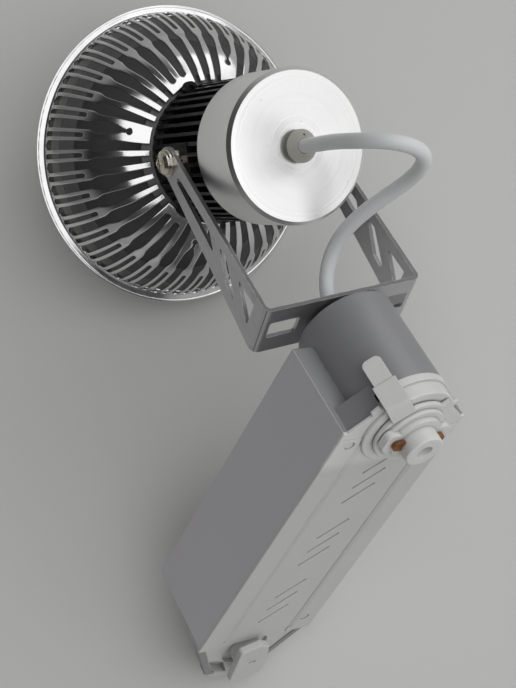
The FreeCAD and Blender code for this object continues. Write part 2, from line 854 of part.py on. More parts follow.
def rear_cap():
    inner = cap_outer - cap_wall
    profile = [
        (inner, cap_front),
        (cap_outer, cap_front),
        (cap_outer, cap_rear - cap_chamfer),
        (cap_outer - cap_chamfer, cap_rear),
        (gland_thread, cap_rear),
        (gland_thread, cap_rear - cap_end_wall),
        (inner, cap_rear - cap_end_wall),
    ]
    return moved(revolved(profile), head_place)


def cable_gland():
    """A grommet: a neck through the cap, then a domed flange that stands clear of it."""
    bore = cable_radius + slip
    profile = [
        (bore, cap_rear - 7.0),
        (gland_thread, cap_rear - 7.0),
        (gland_thread, flange_start),
        (gland_flange - 0.3, flange_start),
        (gland_flange, flange_start + 0.4),
        (gland_flange, flange_start + 0.9),
        (gland_flange - 0.5, flange_start + 1.3),
        (bore + 0.6, gland_end),
        (bore, gland_end),
    ]
    vent = cylinder(0.45, flange_start + 1.0, gland_end + beyond, bore + 1.1, -0.7)
    return moved(revolved(profile).cut(vent), head_place)


def gland_nut():
    low = cap_rear - cap_end_wall - 3.0
    nut = hexagon(15.0, low, cap_rear - cap_end_wall)
    return moved(nut.cut(cylinder(gland_thread, 0, 60)), head_place)


terminal_bottom = cap_front + 3.0
terminal_top = cap_front + 10.0


def lamp_terminal():
    body = block(-9.0, 9.0, -6.0, 6.0, terminal_bottom, terminal_top)
    over = terminal_top + beyond
    wells = [cylinder(1.6, terminal_bottom + 3.0, over, x, 0) for x in (-5.0, 5.0)]
    body = body.cut(wells + [cylinder(3.0, 0, over, *core_channel)])
    return moved(body, head_place)


cob_screw_places = [polar(11.2, 90), polar(11.2, 270)]
pad_half = 8.0
pad_front = sink_front - 0.3
board_front = pad_front - 1.2
emitter_front = board_front - 0.6
holder_front = sink_front - 2.9
holder_well = holder_front + 1.2


def square_plate(half, low, high):
    return block(-half, half, -half, half, low, high)


def thermal_pad():
    return moved(square_plate(pad_half, pad_front, sink_front), head_place)


def cob_board():
    return moved(square_plate(pad_half, board_front, pad_front), head_place)


def cob_emitter():
    return moved(cylinder(6.5, emitter_front, board_front), head_place)


def cob_holder():
    disc = cylinder(14.0, holder_front, sink_front)
    seat_floor = board_front - slip
    above = sink_front + beyond
    seat = square_plate(pad_half + slip, seat_floor, above)
    window = Part.makeCone(8.4, 6.9, 1.4, V(0, 0, holder_front), UP)
    lead_slot = block(6.0, 12.0, -2.0, 2.0, seat_floor, above)
    holes = [cylinder(1.6, holder_front - beyond, above, x, y) for x, y in cob_screw_places]
    wells = [cylinder(2.45, holder_front - beyond, holder_well, x, y) for x, y in cob_screw_places]
    return moved(disc.cut([seat, window, lead_slot] + holes + wells), head_place)


def cob_screws():
    screws = []
    for x, y in cob_screw_places:
        head = cylinder(2.3, holder_front + slip, holder_well, x, y)
        shank = cylinder(small_thread, holder_well, sink_front + 3.5, x, y)
        screws.append(head.fuse(shank))
    return moved(group(screws), head_place)


def led_wires():
    x, middle = core_channel
    wires = []
    for y in (middle - 1.15, middle + 1.15):
        wires.append(cylinder(0.8, pad_front - 1.0, terminal_top - 1.0, x, y))
    return moved(group(wires), head_place)


neck_radius = 28.2
dome = (40.5, -30.2)
waist = (49.8, -40.0)
skirt = (55.2, -50.0)
mouth = (58.3, -59.6)


def shell_profile(inward):
    """The bell: a steep dome at the neck that turns into a nearly straight skirt."""
    corners = []
    for radius, height in ((neck_radius, sink_front), dome, waist, skirt):
        corners.append(V(radius - inward, 0, height - inward))
    corners.append(V(mouth[0] - inward, 0, mouth[1]))
    return corners


hub_thickness = 1.2
ring_inner = 18.0
ring_outer = 30.5
ring_front = sink_front - 4.2
screw_hole = 1.7
shell_screw_shank = 1.5


def reflector_shell():
    outer = shell_profile(0.0)
    inner = shell_profile(shell_thickness)
    hub_radius_in = 15.0
    hub_front = sink_front - hub_thickness
    hub_low = V(hub_radius_in, 0, hub_front)
    hub_high = V(hub_radius_in, 0, sink_front)
    lip_in = V(inner[4].x, 0, rim_front)
    lip_out = V(rim_radius, 0, rim_front)
    lip_back = V(rim_radius, 0, mouth[1])
    inner[0] = V(27.0, 0, hub_front)
    edges = [
        Part.makeLine(hub_high, outer[0]),
        Part.Arc(outer[0], outer[1], outer[2]).toShape(),
        Part.Arc(outer[2], outer[3], outer[4]).toShape(),
        Part.makeLine(outer[4], lip_back),
        Part.makeLine(lip_back, lip_out),
        Part.makeLine(lip_out, lip_in),
        Part.makeLine(lip_in, inner[4]),
        Part.Arc(inner[4], inner[3], inner[2]).toShape(),
        Part.Arc(inner[2], inner[1], inner[0]).toShape(),
        Part.makeLine(inner[0], hub_low),
        Part.makeLine(hub_low, hub_high),
    ]
    bell = Part.Face(Part.Wire(edges)).revolve(V(0, 0, 0), UP, 360)
    cuts = []
    for k in range(fork_count):
        angle = keyhole_first + 360.0 / fork_count * k
        begins = 36.0 if k % 10 == 0 else 31.5
        slot = block(begins, mouth[0] - 1.1, -1.6, 1.6, rim_front + 2.6, sink_front + 2)
        cuts.append(turned(slot, angle))
    for angle in shell_screw_angles():
        x, y = polar(shell_screw_pcd_radius, angle)
        cuts.append(cylinder(screw_hole, -40, 0, x, y))
    return moved(bell.cut(cuts), head_place)


def reflector_ring():
    back = sink_front - hub_thickness - seat_gap
    profile = [
        (ring_inner, ring_front),
        (ring_outer, ring_front),
        (ring_outer, ring_front + 1.2),
        (ring_outer - 4.0, back),
        (ring_inner, back),
    ]
    holes = []
    for angle in shell_screw_angles():
        x, y = polar(shell_screw_pcd_radius, angle)
        holes.append(cylinder(shell_screw_shank, -40, 0, x, y))
    return moved(revolved(profile).cut(holes), head_place)


def shell_screws():
    screws = []
    for angle in shell_screw_angles():
        x, y = polar(shell_screw_pcd_radius, angle)
        head_top = screw_head_seat + 2.6
        head = cylinder(2.7, screw_head_seat, head_top, x, y)
        socket = cylinder(1.2, head_top - 1.4, head_top + beyond, x, y)
        shank = cylinder(shell_screw_shank, ring_front + 0.3, screw_head_seat, x, y)
        screws.append(head.cut(socket).fuse(shank))
    return moved(group(screws), head_place)


reflector_back = holder_front - 0.1
reflector_front = -56.2
reflector_small = 9.6
reflector_large = 46.0
reflector_lip = 53.0


def inner_reflector():
    steps = 14
    outside = []
    inside = []
    depth = reflector_back - reflector_front
    for k in range(steps + 1):
        part = k / steps
        radius = math.sqrt(reflector_small**2 + (reflector_large**2 - reflector_small**2) * part)
        height = reflector_back - depth * part
        inside.append((radius, height))
        outside.append((radius + 1.0, height))
    lip_front = reflector_front - 0.8
    lip = [(reflector_lip, reflector_front), (reflector_lip, lip_front), (reflector_large, lip_front)]
    profile = outside + lip + inside[::-1]
    return moved(revolved(profile), head_place)


glass_thickness = 2.8
glass_back = reflector_front - 0.85
glass_front = glass_back - glass_thickness


def front_glass():
    return moved(cylinder(glass_radius, glass_front, glass_back), head_place)


def glass_gasket():
    touch = 0.02
    outside = glass_radius + 2.2
    lip_room = reflector_lip + slip
    profile = [
        (glass_radius + touch, glass_front),
        (outside, glass_front),
        (outside, reflector_front),
        (lip_room, reflector_front),
        (lip_room, glass_back + touch),
        (glass_radius + touch, glass_back + touch),
    ]
    return moved(revolved(profile), head_place)


def front_bezel():
    opening = 50.0
    outside = 57.3
    back = glass_front - seat_gap
    profile = [
        (opening, back),
        (opening, rim_front + slip),
        (opening + 1.0, rim_front),
        (outside, rim_front),
        (outside, back),
    ]
    return moved(revolved(profile), head_place)


# ---------------------------------------------------------------- tilt pivots
pivot_washer_outside = yoke_half + 1.05
pivot_bore = pivot_thread + seat_gap


def pivot_screws():
    inner_end = core_radius
    head_seat = pivot_washer_outside + seat_gap
    head_radius = 4.5
    head_end = head_seat + 2.6
    recess_half = 2.2
    screws = []
    for side in (1, -1):
        profile = [
            (0.0, inner_end),
            (pivot_thread, inner_end),
            (pivot_thread, head_seat),
            (head_radius, head_seat),
            (head_radius, head_seat + 0.9),
            (head_radius - 0.9, head_end - 0.5),
            (2.0, head_end),
            (0.0, head_end),
        ]
        screw = revolved(profile)
        bars = [
            block(-recess_half, recess_half, -0.5, 0.5, head_end - 1.8, head_end + beyond),
            block(-0.5, 0.5, -recess_half, recess_half, head_end - 1.8, head_end + beyond),
        ]
        screw = screw.cut(bars)
        screw.rotate(V(0, 0, 0), ALONG_X, -90 * side)
        screws.append(screw)
    return moved(group(screws), head_place)


def pivot_washers():
    washers = []
    for side in (1, -1):
        washer = tube(5.2, pivot_bore, yoke_half + seat_gap, pivot_washer_outside)
        washer.rotate(V(0, 0, 0), ALONG_X, -90 * side)
        washers.append(washer)
    return moved(group(washers), head_place)


def pivot_spacers():
    spacers = []
    for side in (1, -1):
        spacer = tube(4.4, pivot_bore, fin_radius, yoke_half - sheet - seat_gap)
        spacer.rotate(V(0, 0, 0), ALONG_X, -90 * side)
        spacers.append(spacer)
    return moved(group(spacers), head_place)


sub_parts = [
    driver_housing, adapter_cover, cover_rivets, driver_board, board_screws,
    transformer_core, transformer_winding, capacitors, input_choke, terminal_block,
    contact_carrier, contact_springs, supply_wires, output_wires, contact_blades,
    contact_head, lock_lever, head_clip, rear_lock, rear_lock_clip,
    pan_bolt, pan_lock_nut, pan_spacer,
    pan_friction_washers, pan_nut, yoke_bracket, power_cable, heat_sink, rear_cap,
    cable_gland, gland_nut, lamp_terminal, thermal_pad, cob_board, cob_emitter,
    cob_holder, cob_screws, led_wires, reflector_shell, reflector_ring, shell_screws,
    inner_reflector, front_glass, glass_gasket, front_bezel, pivot_screws,
    pivot_washers, pivot_spacers,
]


os.makedirs("parts", exist_ok=True)
for sub_part in sub_parts:
    shape = sub_part()
    shape.exportStep("parts/" + sub_part.__name__ + ".step")
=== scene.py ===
import json
import math

import bmesh
import bpy
import numpy as np
from mathutils import Matrix, Vector


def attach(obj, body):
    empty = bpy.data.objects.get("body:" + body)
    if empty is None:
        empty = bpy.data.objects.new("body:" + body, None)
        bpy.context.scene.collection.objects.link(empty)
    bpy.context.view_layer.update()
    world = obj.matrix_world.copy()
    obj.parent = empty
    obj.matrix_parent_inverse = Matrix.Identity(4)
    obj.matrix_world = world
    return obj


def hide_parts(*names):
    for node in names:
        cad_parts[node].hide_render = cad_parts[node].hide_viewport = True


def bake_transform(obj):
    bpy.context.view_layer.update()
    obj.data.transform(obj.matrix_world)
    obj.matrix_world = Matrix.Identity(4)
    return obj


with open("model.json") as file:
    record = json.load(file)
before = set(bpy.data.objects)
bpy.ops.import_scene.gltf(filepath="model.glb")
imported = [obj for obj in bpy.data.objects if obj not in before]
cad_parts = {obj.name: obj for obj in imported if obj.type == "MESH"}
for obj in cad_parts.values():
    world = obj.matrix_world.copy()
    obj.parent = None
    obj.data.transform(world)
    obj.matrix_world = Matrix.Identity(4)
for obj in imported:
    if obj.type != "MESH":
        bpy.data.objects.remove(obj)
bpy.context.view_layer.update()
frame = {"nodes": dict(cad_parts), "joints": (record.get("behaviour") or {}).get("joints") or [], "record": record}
nodes = frame["nodes"]
joints = {joint["name"]: joint for joint in frame["joints"]}

MM = 0.001
UP = Vector((0, 0, 1))

# ---------------------------------------------------------------- where things are
REST_ELEVATION = math.radians(45.8)
tilt_axis = Vector(joints["tilt"]["axis"]).normalized()
tilt_point = Vector(joints["tilt"]["pos_m"])
pan_point = Vector(joints["pan"]["pos_m"])
yoke_out = tilt_axis.cross(UP).normalized()
head_axis = yoke_out * math.cos(REST_ELEVATION) + UP * math.sin(REST_ELEVATION)
head_side = tilt_axis.cross(head_axis).normalized()


def head_point(radius, angle, along):
    """A point of the lamp head, in millimetres: angle turns from the tilt axis."""
    across = tilt_axis * math.cos(angle) + head_side * math.sin(angle)
    return tilt_point + (across * radius + head_axis * along) * MM


def yoke_point(out, across, height):
    """A point of the yoke in millimetres: out from the pan axis, across it, and up."""
    foot = Vector((pan_point.x, pan_point.y, 0))
    return foot + (yoke_out * out + tilt_axis * across + UP * height) * MM


# ---------------------------------------------------------------- material helpers
class Shader:
    """One node material: a Principled surface and short ways to feed it."""

    NOISE_LOW = 0.3
    NOISE_HIGH = 0.7
    CORNER_SAMPLES = 8
    EDGE_SAMPLES = 6
    FLAT_AGREEMENT = 0.99
    EDGE_AGREEMENT = 0.86
    EDGE_PATCH_MM = 2.0

    def __init__(self, name, color, roughness, metallic=0.0):
        self.material = bpy.data.materials.new(name)
        self.material.use_nodes = True
        self.tree = self.material.node_tree
        self.tree.nodes.clear()
        self.surface = self.add("ShaderNodeBsdfPrincipled")
        self.output = self.add("ShaderNodeOutputMaterial")
        self.link(self.surface.outputs["BSDF"], self.output.inputs["Surface"])
        self.surface.inputs["Base Color"].default_value = (*color, 1.0)
        self.surface.inputs["Roughness"].default_value = roughness
        self.surface.inputs["Metallic"].default_value = metallic
        self.place = self.add("ShaderNodeTexCoord").outputs["Object"]
        self.last_bump = None

    def add(self, kind, **settings):
        node = self.tree.nodes.new(kind)
        for key, value in settings.items():
            setattr(node, key, value)
        return node

    def link(self, source, target):
        self.tree.links.new(source, target)

    def number(self, operation, first, second=None, clamp=False):
        """Arithmetic on single values, each a number or a socket."""
        node = self.add("ShaderNodeMath", operation=operation, use_clamp=clamp)
        for socket, value in zip(node.inputs, (first, second)):
            if isinstance(value, (int, float)):
                socket.default_value = value
            elif value is not None:
                self.link(value, socket)
        return node.outputs[0]

    def vector(self, operation, first, second=None):
        """Arithmetic on vectors, each a vector or a socket."""
        node = self.add("ShaderNodeVectorMath", operation=operation)
        for socket, value in zip(node.inputs, (first, second)):
            if isinstance(value, (tuple, Vector)):
                socket.default_value = tuple(value)
            elif value is not None:
                self.link(value, socket)
        gives_number = operation in ("DOT_PRODUCT", "LENGTH")
        return node.outputs["Value" if gives_number else "Vector"]

    def noise(self, size_mm, detail=3.0, place=None, stretch=(1, 1, 1), roughness=0.55):
        """Fractal noise whose largest features are about size_mm across."""
        scale = 1 / (size_mm * MM)
        scales = tuple(scale * share for share in stretch)
        where = self.vector("MULTIPLY", place or self.place, scales)
        node = self.add("ShaderNodeTexNoise")
        node.inputs["Scale"].default_value = 1.0
        node.inputs["Detail"].default_value = detail
        node.inputs["Roughness"].default_value = roughness
        self.link(where, node.inputs["Vector"])
        return node.outputs["Fac"]

    def ramp(self, value, low, high, to_low=0.0, to_high=1.0):
        """Turns the range low to high into to_low to to_high, and holds it there."""
        node = self.add("ShaderNodeMapRange")
        self.link(value, node.inputs["Value"])
        node.inputs["From Min"].default_value = low
        node.inputs["From Max"].default_value = high
        node.inputs["To Min"].default_value = to_low
        node.inputs["To Max"].default_value = to_high
        return node.outputs["Result"]

    def tint(self, factor, color):
        """Mixes another colour over the surface colour where factor is high."""
        node = self.add("ShaderNodeMix", data_type="RGBA")
        socket = self.surface.inputs["Base Color"]
        if socket.is_linked:
            self.link(socket.links[0].from_socket, node.inputs["A"])
        else:
            node.inputs["A"].default_value = socket.default_value
        node.inputs["B"].default_value = (*color, 1.0)
        self.link(factor, node.inputs["Factor"])
        self.link(node.outputs["Result"], socket)

    def rough(self, factor, low, high):
        """Lets the roughness follow a noise, between low and high."""
        level = self.ramp(factor, self.NOISE_LOW, self.NOISE_HIGH, low, high)
        self.link(level, self.surface.inputs["Roughness"])

    def bump(self, height, depth_mm, strength):
        node = self.add("ShaderNodeBump")
        node.inputs["Strength"].default_value = strength
        node.inputs["Distance"].default_value = depth_mm * MM
        self.link(height, node.inputs["Height"])
        self.link(node.outputs["Normal"], self.surface.inputs["Normal"])
        self.last_bump = node

    def paint_shade_in_corners(self, color, reach_mm, low, high):
        """Paints shade into corners and grooves: full at a share low of open sky, none at high."""
        hollow = self.add("ShaderNodeAmbientOcclusion")
        hollow.samples = self.CORNER_SAMPLES
        hollow.inputs["Distance"].default_value = reach_mm * MM
        self.tint(self.ramp(hollow.outputs["AO"], low, high, 1.0, 0.0), color)

    def bevelled_normal(self, radius_mm):
        """The surface normal as if every edge were rounded by radius_mm."""
        node = self.add("ShaderNodeBevel")
        node.samples = self.EDGE_SAMPLES
        node.inputs["Radius"].default_value = radius_mm * MM
        return node.outputs["Normal"]

    def soften_edges(self, radius_mm):
        """Rounds the shading of sharp edges, under the bump, which is made first."""
        self.link(self.bevelled_normal(radius_mm), self.last_bump.inputs["Normal"])

    def edge_wear_and_highlight(self, color, width_mm, amount):
        """Lightens edges where a bevelled normal parts from the true one: worn edges on some finishes, painted
        edge highlights on others.
        """
        true_normal = self.add("ShaderNodeNewGeometry").outputs["Normal"]
        same = self.vector("DOT_PRODUCT", self.bevelled_normal(width_mm), true_normal)
        edge = self.ramp(same, self.FLAT_AGREEMENT, self.EDGE_AGREEMENT)
        patches = self.ramp(self.noise(self.EDGE_PATCH_MM), 0.35, 0.65)
        broken = self.number("MULTIPLY", edge, patches)
        self.tint(self.number("MULTIPLY", broken, amount, clamp=True), color)

    def between_spaces(self, value, kind, start, end):
        """A vector or a normal carried from the world to the object, or back."""
        turn = self.add("ShaderNodeVectorTransform", vector_type=kind)
        turn.convert_from = start
        turn.convert_to = end
        self.link(value, turn.inputs["Vector"])
        return turn.outputs["Vector"]

    def cut_face(self, color, flat_ways, least):
        """Tints faces that look along none of flat_ways: the cut edges of a bent sheet."""
        normal = self.add("ShaderNodeNewGeometry").outputs["True Normal"]
        normal = self.between_spaces(normal, "NORMAL", "WORLD", "OBJECT")
        shares = []
        for way in flat_ways:
            along = self.vector("DOT_PRODUCT", normal, way)
            shares.append(self.number("ABSOLUTE", along))
        flat = self.number("MAXIMUM", *shares)
        self.tint(self.number("LESS_THAN", flat, least), color)

    def light_inside(self, weight, radius_mm):
        """Light that travels a little way inside, as in plastic and rubber."""
        self.surface.inputs["Subsurface Weight"].default_value = weight
        self.surface.inputs["Subsurface Radius"].default_value = (1.0, 0.9, 0.8)
        self.surface.inputs["Subsurface Scale"].default_value = radius_mm * MM

    def turned_about(self, point, axis, amount):
        """Circular brush marks: highlights stretch across rings about the axis."""
        arm = self.vector("SUBTRACT", self.place, point)
        round_way = self.vector("CROSS_PRODUCT", axis, arm)
        round_way = self.vector("NORMALIZE", round_way)
        tangent = self.between_spaces(round_way, "VECTOR", "OBJECT", "WORLD")
        self.link(tangent, self.surface.inputs["Tangent"])
        self.surface.inputs["Anisotropic"].default_value = amount

    def lathe_place(self, point, axis):
        """(radius, height along the axis, 0) of each point, for ring-shaped marks."""
        arm = self.vector("SUBTRACT", self.place, point)
        along = self.vector("DOT_PRODUCT", arm, axis)
        radius = self.vector("LENGTH", self.vector("CROSS_PRODUCT", axis, arm))
        join = self.add("ShaderNodeCombineXYZ")
        self.link(radius, join.inputs["X"])
        self.link(along, join.inputs["Y"])
        return join.outputs["Vector"]


# ---------------------------------------------------------------- materials
# Painted faces nearer than this to the box's middle plane, such as the column, get painted shade.
LONG_SIDE = 26.6 * MM
LONG_SIDE_FADE = 0.4 * MM
# From the nose up to this X the white plastic is darker.
DARKER_PLASTIC_END = 46 * MM
DARKER_PLASTIC_FADE = 5 * MM


def lavender_paint():
    """Satin powder coat: cool grey, faintly mottled, a few hairline scratches, painted shade inboard."""
    paint = Shader("lavender_paint", (0.62, 0.605, 0.64), 0.38, 0.4)
    cloud = paint.noise(38.0, 2.0)
    paint.tint(paint.ramp(cloud, 0.35, 0.7, 0.0, 0.5), (0.65, 0.635, 0.67))
    sideways = paint.vector("DOT_PRODUCT", paint.place, (0, 1, 0))
    sideways = paint.number("ABSOLUTE", sideways)
    # Painted shade: the same paint darkened between the long side walls, such as on the column.
    painted_shade_inboard = paint.ramp(sideways, LONG_SIDE - LONG_SIDE_FADE, LONG_SIDE, 0.92, 0.0)
    paint.tint(painted_shade_inboard, (0.30, 0.303, 0.318))
    speckle = paint.noise(0.35, 2.0)
    paint.rough(speckle, 0.36, 0.50)
    paint.bump(speckle, 0.02, 0.35)
    long_marks = paint.noise(9.0, stretch=(0.12, 1.0, 3.2), roughness=0.7)
    marks = paint.ramp(long_marks, 0.742, 0.755)
    paint.tint(paint.number("MULTIPLY", marks, 0.5), (0.34, 0.34, 0.37))
    paint.edge_wear_and_highlight((0.72, 0.72, 0.76), 0.4, 0.6)
    paint.soften_edges(0.35)
    return paint.material


def white_plastic():
    """Moulded white plastic with faint flow marks, darker towards the nose, painted shade in corners."""
    plastic = Shader("white_plastic", (0.80, 0.805, 0.79), 0.36)
    lengthways = plastic.vector("DOT_PRODUCT", plastic.place, (1, 0, 0))
    towards_nose = plastic.ramp(lengthways, DARKER_PLASTIC_END, DARKER_PLASTIC_END + DARKER_PLASTIC_FADE, 1.0, 0.0)
    plastic.tint(towards_nose, (0.64, 0.645, 0.63))
    flow = plastic.noise(22.0, stretch=(0.4, 1.0, 1.0))
    plastic.tint(plastic.ramp(flow, 0.35, 0.75, 0.0, 0.35), (0.56, 0.565, 0.56))
    grain = plastic.noise(0.5, 2.0)
    plastic.rough(grain, 0.33, 0.46)
    plastic.bump(grain, 0.015, 0.3)
    # Painted shade in the corners and grooves of the plastic.
    plastic.paint_shade_in_corners((0.44, 0.445, 0.44), reach_mm=1.6, low=0.30, high=0.86)
    plastic.soften_edges(0.3)
    plastic.light_inside(0.35, 1.6)
    plastic.surface.inputs["Coat Weight"].default_value = 0.08
    return plastic.material


def yoke_aluminium():
    """Rolled and stamped aluminium sheet: satin, streaked upright, with dark cut faces and painted edge
    highlights.
    """
    sheet = Shader("yoke_aluminium", (0.55, 0.55, 0.565), 0.34, 0.9)
    streak = sheet.noise(0.8, stretch=(1.0, 1.0, 0.05))
    sheet.rough(streak, 0.30, 0.46)
    sheet.bump(streak, 0.012, 0.4)
    spot = sheet.noise(6.0, 4.0)
    sheet.tint(sheet.ramp(spot, 0.55, 0.75, 0.0, 0.35), (0.33, 0.33, 0.35))
    sheet.cut_face((0.24, 0.24, 0.245), flat_ways=(tilt_axis, UP), least=0.8)
    # Painted highlights: thin white lines along the sheet's edges.
    sheet.edge_wear_and_highlight((0.95, 0.95, 0.95), 0.28, 1.0)
    return sheet.material


def black_anodised():
    """Black anodised extrusion: fine grain, patches of dust, and paler edges that are painted highlights."""
    black = Shader("black_anodised", (0.010, 0.010, 0.011), 0.34, 0.3)
    grain = black.noise(0.5, 2.0)
    black.rough(grain, 0.26, 0.46)
    black.bump(grain, 0.02, 0.3)
    dust = black.noise(3.0, 4.0)
    black.tint(black.ramp(dust, 0.5, 0.8, 0.0, 0.5), (0.035, 0.035, 0.04))
    # Painted highlights: thin grey lines along the fins' edges.
    black.edge_wear_and_highlight((0.22, 0.22, 0.23), 0.3, 0.8)
    return black.material


def turned_aluminium():
    """Lathe-turned aluminium: fine rings that pull the highlight into a fan."""
    metal = Shader("turned_aluminium", (0.93, 0.93, 0.93), 0.30, 1.0)
    place = metal.lathe_place(tilt_point, head_axis)
    rings = metal.noise(0.22, place=place)
    broad = metal.noise(3.5, place=place)
    metal.turned_about(tilt_point, head_axis, 0.85)
    metal.rough(rings, 0.26, 0.40)
    metal.tint(metal.ramp(broad, 0.35, 0.7, 0.0, 0.35), (0.86, 0.86, 0.865))
    metal.bump(rings, 0.01, 0.25)
    speck = metal.noise(1.1, 2.0)
    metal.tint(metal.ramp(speck, 0.76, 0.79), (0.35, 0.35, 0.36))
    return metal.material


def polished_aluminium():
    """Spun and polished shell metal with faint haze, smears and fine rings."""
    metal = Shader("polished_aluminium", (0.72, 0.72, 0.725), 0.14, 1.0)
    place = metal.lathe_place(tilt_point, head_axis)
    rings = metal.noise(0.5, place=place)
    smear = metal.noise(9.0, 4.0)
    metal.turned_about(tilt_point, head_axis, 0.35)
    metal.rough(smear, 0.10, 0.24)
    metal.tint(metal.ramp(smear, 0.5, 0.75, 0.0, 0.4), (0.60, 0.60, 0.61))
    metal.bump(rings, 0.008, 0.2)
    return metal.material


def mirror_coating():
    """Vapour-coated reflector seen from outside: grey, slightly wavy."""
    coat = Shader("mirror_coating", (0.15, 0.147, 0.152), 0.6, 0.7)
    place = coat.lathe_place(tilt_point, head_axis)
    wave = coat.noise(6.0, place=place)
    coat.rough(wave, 0.5, 0.7)
    coat.bump(wave, 0.08, 0.3)
    return coat.material


def cable_sheath():
    """Soft light-grey cable sheath with a faint dusty bloom and a few dark specks."""
    sheath = Shader("cable_sheath", (0.76, 0.79, 0.795), 0.36)
    bloom = sheath.noise(7.0)
    sheath.tint(sheath.ramp(bloom, 0.4, 0.75, 0.0, 0.5), (0.80, 0.82, 0.82))
    speck = sheath.noise(1.6, 2.0)
    sheath.tint(sheath.ramp(speck, 0.79, 0.81), (0.12, 0.12, 0.12))
    skin = sheath.noise(0.6)
    sheath.rough(skin, 0.36, 0.5)
    sheath.bump(skin, 0.03, 0.3)
    sheath.light_inside(0.2, 1.2)
    return sheath.material


def plain(name, color, roughness, metallic=0.0, grain_mm=0.6, depth_mm=0.02, shade=0.8):
    """A simple finish with real grain: uneven colour, gloss and surface."""
    finish = Shader(name, color, roughness, metallic)
    patch = finish.noise(grain_mm * 12, 4.0)
    darker = tuple(channel * shade for channel in color)
    finish.tint(finish.ramp(patch, 0.4, 0.75, 0.0, 0.8), darker)
    grain = finish.noise(grain_mm)
    finish.rough(grain, roughness * 0.85, min(1.0, roughness * 1.25))
    finish.bump(grain, depth_mm, 0.35)
    finish.soften_edges(0.15)
    return finish


def gland_plastic():
    """Yellowed grey moulding with a coarse grain."""
    color = (0.44, 0.425, 0.385)
    gland = plain("gland_plastic", color, 0.5, grain_mm=0.8, depth_mm=0.03, shade=0.85)
    gland.light_inside(0.2, 1.0)
    return gland.material


def clear_glass():
    """Clear front glass with the faintest waviness."""
    glass = Shader("clear_glass", (0.96, 0.98, 0.98), 0.02)
    glass.surface.inputs["Transmission Weight"].default_value = 1.0
    glass.surface.inputs["IOR"].default_value = 1.5
    glass.bump(glass.noise(14.0, 2.0), 0.02, 0.15)
    return glass.material


def phosphor():
    """The lamp's yellow silicone spot."""
    color = (0.90, 0.62, 0.10)
    lamp = plain("phosphor", color, 0.55, grain_mm=0.3, depth_mm=0.04, shade=0.9)
    lamp.light_inside(0.3, 0.6)
    return lamp.material


def bright_plating():
    """Warm bright nickel with paler edges."""
    color = (0.74, 0.69, 0.60)
    plating = plain("bright_plating", color, 0.16, 1.0, grain_mm=0.5, depth_mm=0.01, shade=0.7)
    plating.edge_wear_and_highlight((0.95, 0.93, 0.9), 0.2, 0.6)
    return plating.material


def contact_copper():
    """Stamped copper, dulled by tarnish."""
    return plain("contact_copper", (0.36, 0.15, 0.055), 0.42, 0.8, grain_mm=0.5, shade=0.6).material


# Colour, roughness and metallic share of the finishes that need no detail of their own.
SIMPLE = {
    "circuit_board": ((0.02, 0.12, 0.05), 0.35, 0.0),
    "plated_steel": ((0.58, 0.58, 0.56), 0.32, 1.0),
    "ferrite": ((0.04, 0.04, 0.045), 0.7, 0.0),
    "winding_tape": ((0.70, 0.48, 0.06), 0.4, 0.0),
    "capacitor_sleeve": ((0.01, 0.015, 0.04), 0.25, 0.0),
    "enamelled_copper": ((0.45, 0.16, 0.06), 0.3, 0.8),
    "terminal_plastic": ((0.55, 0.56, 0.53), 0.45, 0.0),
    "carrier_plastic": ((0.62, 0.60, 0.53), 0.5, 0.0),
    "spring_bronze": ((0.60, 0.38, 0.15), 0.3, 1.0),
    "wire_sleeve": ((0.03, 0.035, 0.06), 0.45, 0.0),
    "spacer_metal": ((0.45, 0.45, 0.46), 0.35, 0.9),
    "friction_fibre": ((0.015, 0.015, 0.015), 0.8, 0.0),
    "spring_steel": ((0.30, 0.30, 0.32), 0.3, 1.0),
    "thermal_pad": ((0.35, 0.35, 0.38), 0.75, 0.0),
    "lamp_board": ((0.75, 0.75, 0.72), 0.4, 0.0),
    "holder_plastic": ((0.70, 0.70, 0.67), 0.45, 0.0),
    "dark_ring": ((0.10, 0.10, 0.10), 0.4, 0.5),
    "black_steel": ((0.01, 0.01, 0.01), 0.35, 0.7),
    "gasket_rubber": ((0.17, 0.165, 0.16), 0.5, 0.0),
}

materials = {
    "lavender_paint": lavender_paint(),
    "white_plastic": white_plastic(),
    "yoke_aluminium": yoke_aluminium(),
    "black_anodised": black_anodised(),
    "turned_aluminium": turned_aluminium(),
    "polished_aluminium": polished_aluminium(),
    "mirror_coating": mirror_coating(),
    "cable_sheath": cable_sheath(),
    "gland_plastic": gland_plastic(),
    "clear_glass": clear_glass(),
    "phosphor": phosphor(),
    "bright_plating": bright_plating(),
    "contact_copper": contact_copper(),
}
for name, (color, roughness, metallic) in SIMPLE.items():
    materials[name] = plain(name, color, roughness, metallic).material

slot_of = {row["node"]: row["material_slot"] for row in frame["record"]["subparts"]}
for node_name, node in nodes.items():
    node.data.materials.clear()
    node.data.materials.append(materials[slot_of[node_name]])


# ---------------------------------------------------------------- mesh helpers
def new_piece(name, mesh, material):
    """Turns a finished bmesh into a smooth-shaded object of the scene."""
    data = bpy.data.meshes.new(name)
    mesh.to_mesh(data)
    mesh.free()
    piece = bpy.data.objects.new(name, data)
    bpy.context.scene.collection.objects.link(piece)
    data.materials.append(material)
    for polygon in data.polygons:
        polygon.use_smooth = True
    return piece


def join_rows(mesh, first, second, closed):
    """Faces between two equal rows of vertices; closed rows also join their ends."""
    count = len(first)
    for i in range(count if closed else count - 1):
        j = (i + 1) % count
        mesh.faces.new((first[i], second[i], second[j], first[j]))


